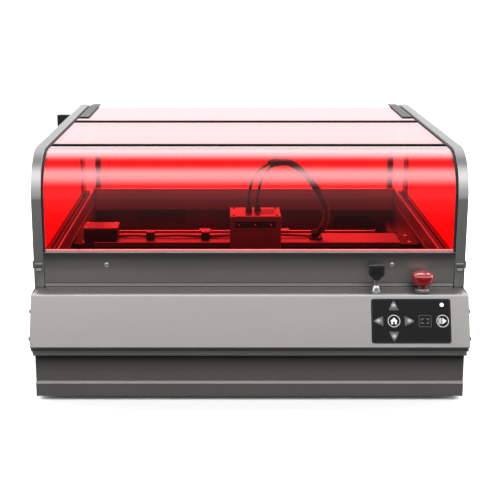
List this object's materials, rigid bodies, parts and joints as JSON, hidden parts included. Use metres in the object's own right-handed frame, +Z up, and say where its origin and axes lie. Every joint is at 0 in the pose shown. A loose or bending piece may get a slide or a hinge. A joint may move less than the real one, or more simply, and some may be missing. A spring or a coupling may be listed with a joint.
{
  "type": "laser engraver",
  "caption": "Enclosed desktop laser engraver with a hinged red acrylic lid, slanted control beam, belt-driven gantry with laser head, and a pull-out honeycomb bed.",
  "frame": {"origin": "on the floor, under the middle of the box around the whole machine", "axes": "+X to the machine's right as its user faces it, +Y to its back, +Z up"},
  "size_m": [0.615, 0.635, 0.319],
  "materials": {
    "anodised_grey": "grey anodised, fine satin",
    "lid_silver": "satin silver",
    "dark_sheet": "dark grey powder coat",
    "red_acrylic": "transparent red acrylic, polished",
    "black_plastic": "fine grained black",
    "bare_steel": "bright",
    "bed_steel": "plain rolled",
    "rubber": "matt black",
    "panel_black": "satin film",
    "key_white": "light grey",
    "stop_red": "gloss red",
    "head_grey": "grey anodised, satin",
    "board_green": "lacquered circuit board"
  },
  "bodies": {
    "base": {"front_beam": "anodised_grey", "side_wall_left": "anodised_grey", "side_wall_right": "anodised_grey", "rear_beam": "anodised_grey", "rear_panel": "anodised_grey", "base_pan": "dark_sheet", "foot_front_left": "rubber", "foot_front_right": "rubber", "foot_rear_left": "rubber", "foot_rear_right": "rubber", "control_panel": "panel_black", "key_collar": "bare_steel", "estop_collar": "bare_steel", "y_rail_left": "bare_steel", "y_rail_right": "bare_steel", "y_motor": "black_plastic", "y_belt_left": "rubber", "y_belt_right": "rubber", "controller_board": "board_green", "power_inlet": "black_plastic", "exhaust_duct": "black_plastic", "hinge_post_left": "dark_sheet", "hinge_post_right": "dark_sheet", "rear_window": "red_acrylic"},
    "lid": {"lid_arm_left": "lid_silver", "lid_arm_right": "lid_silver", "lid_rail": "anodised_grey", "front_shield": "red_acrylic", "top_panel_front": "red_acrylic", "top_panel_rear": "red_acrylic", "side_panel_left": "red_acrylic", "side_panel_right": "red_acrylic", "crossbar_front": "black_plastic", "crossbar_rear": "black_plastic", "hinge_damper": "black_plastic"},
    "gantry": {"gantry_beam": "anodised_grey", "gantry_end_left": "black_plastic", "gantry_end_right": "black_plastic", "x_motor": "black_plastic", "x_belt": "rubber", "head_cable": "rubber"},
    "carriage": {"carriage_plate": "black_plastic", "laser_housing": "head_grey", "laser_module": "head_grey"},
    "drawer": {"drawer_front": "dark_sheet", "drawer_tray": "dark_sheet", "honeycomb_bed": "bed_steel"},
    "x_pulley": {"x_pulley": "bare_steel"},
    "y_shaft": {"y_shaft": "bare_steel"},
    "exhaust_fan": {"exhaust_fan": "black_plastic"},
    "rocker": {"rocker": "black_plastic"},
    "key": {"key": "black_plastic"},
    "estop_cap": {"estop_cap": "stop_red"},
    "key_up": {"key_up": "key_white"},
    "key_left": {"key_left": "key_white"},
    "key_down": {"key_down": "key_white"},
    "key_right": {"key_right": "key_white"},
    "key_home": {"key_home": "key_white"},
    "key_frame": {"key_frame": "key_white"},
    "key_start": {"key_start": "key_white"}
  },
  "joints": [
    {"name": "lid_hinge", "type": "hinge", "parent": "base", "child": "lid", "pos_m": [0.021, 0.283, 0.297], "axis": [-1, 0, 0], "range_deg": [0, 65]},
    {"name": "gantry_slide", "type": "slide", "parent": "base", "child": "gantry", "axis": [0, 1, 0], "range_m": [-0.12, 0.235]},
    {"name": "carriage_slide", "type": "slide", "parent": "gantry", "child": "carriage", "axis": [1, 0, 0], "range_m": [-0.205, 0.18], "deforming": ["head_cable"]},
    {"name": "x_pulley_spin", "type": "hinge", "parent": "gantry", "child": "x_pulley", "pos_m": [-0.2, -0.025, 0.136], "axis": [0, 0, 1], "continuous": true},
    {"name": "y_shaft_spin", "type": "hinge", "parent": "base", "child": "y_shaft", "pos_m": [0.021, 0.258, 0.095], "axis": [1, 0, 0], "continuous": true},
    {"name": "exhaust_fan_spin", "type": "hinge", "parent": "base", "child": "exhaust_fan", "pos_m": [-0.129, 0.3, 0.101], "axis": [0, 1, 0], "continuous": true},
    {"name": "drawer_slide", "type": "slide", "parent": "base", "child": "drawer", "axis": [0, -1, 0], "range_m": [0, 0.3]},
    {"name": "key_turn", "type": "hinge", "parent": "base", "child": "key", "pos_m": [0.188, -0.268, 0.1393], "axis": [0, 0, 1], "range_deg": [-90, 0]},
    {"name": "estop_press", "type": "slide", "parent": "base", "child": "estop_cap", "axis": [0, 0, -1], "range_m": [0, 0.004], "stiffness_N_per_m": 800},
    {"name": "rocker_tilt", "type": "hinge", "parent": "base", "child": "rocker", "pos_m": [0.234, 0.2872, 0.102], "axis": [1, 0, 0], "range_deg": [0, 14]},
    {"name": "key_up_press", "type": "slide", "parent": "base", "child": "key_up", "axis": [0, 0.9165, -0.4001], "range_m": [0, 0.0008], "stiffness_N_per_m": 500},
    {"name": "key_left_press", "type": "slide", "parent": "base", "child": "key_left", "axis": [0, 0.9165, -0.4001], "range_m": [0, 0.0008], "stiffness_N_per_m": 500},
    {"name": "key_down_press", "type": "slide", "parent": "base", "child": "key_down", "axis": [0, 0.9165, -0.4001], "range_m": [0, 0.0008], "stiffness_N_per_m": 500},
    {"name": "key_right_press", "type": "slide", "parent": "base", "child": "key_right", "axis": [0, 0.9165, -0.4001], "range_m": [0, 0.0008], "stiffness_N_per_m": 500},
    {"name": "key_home_press", "type": "slide", "parent": "base", "child": "key_home", "axis": [0, 0.9165, -0.4001], "range_m": [0, 0.0008], "stiffness_N_per_m": 500},
    {"name": "key_frame_press", "type": "slide", "parent": "base", "child": "key_frame", "axis": [0, 0.9165, -0.4001], "range_m": [0, 0.0008], "stiffness_N_per_m": 500},
    {"name": "key_start_press", "type": "slide", "parent": "base", "child": "key_start", "axis": [0, 0.9165, -0.4001], "range_m": [0, 0.0008], "stiffness_N_per_m": 500}
  ],
  "couplings": [
    {"joint": "x_pulley_spin", "follows": "carriage_slide", "rad_per_m": 157.08},
    {"joint": "y_shaft_spin", "follows": "gantry_slide", "rad_per_m": -157.08}
  ]
}
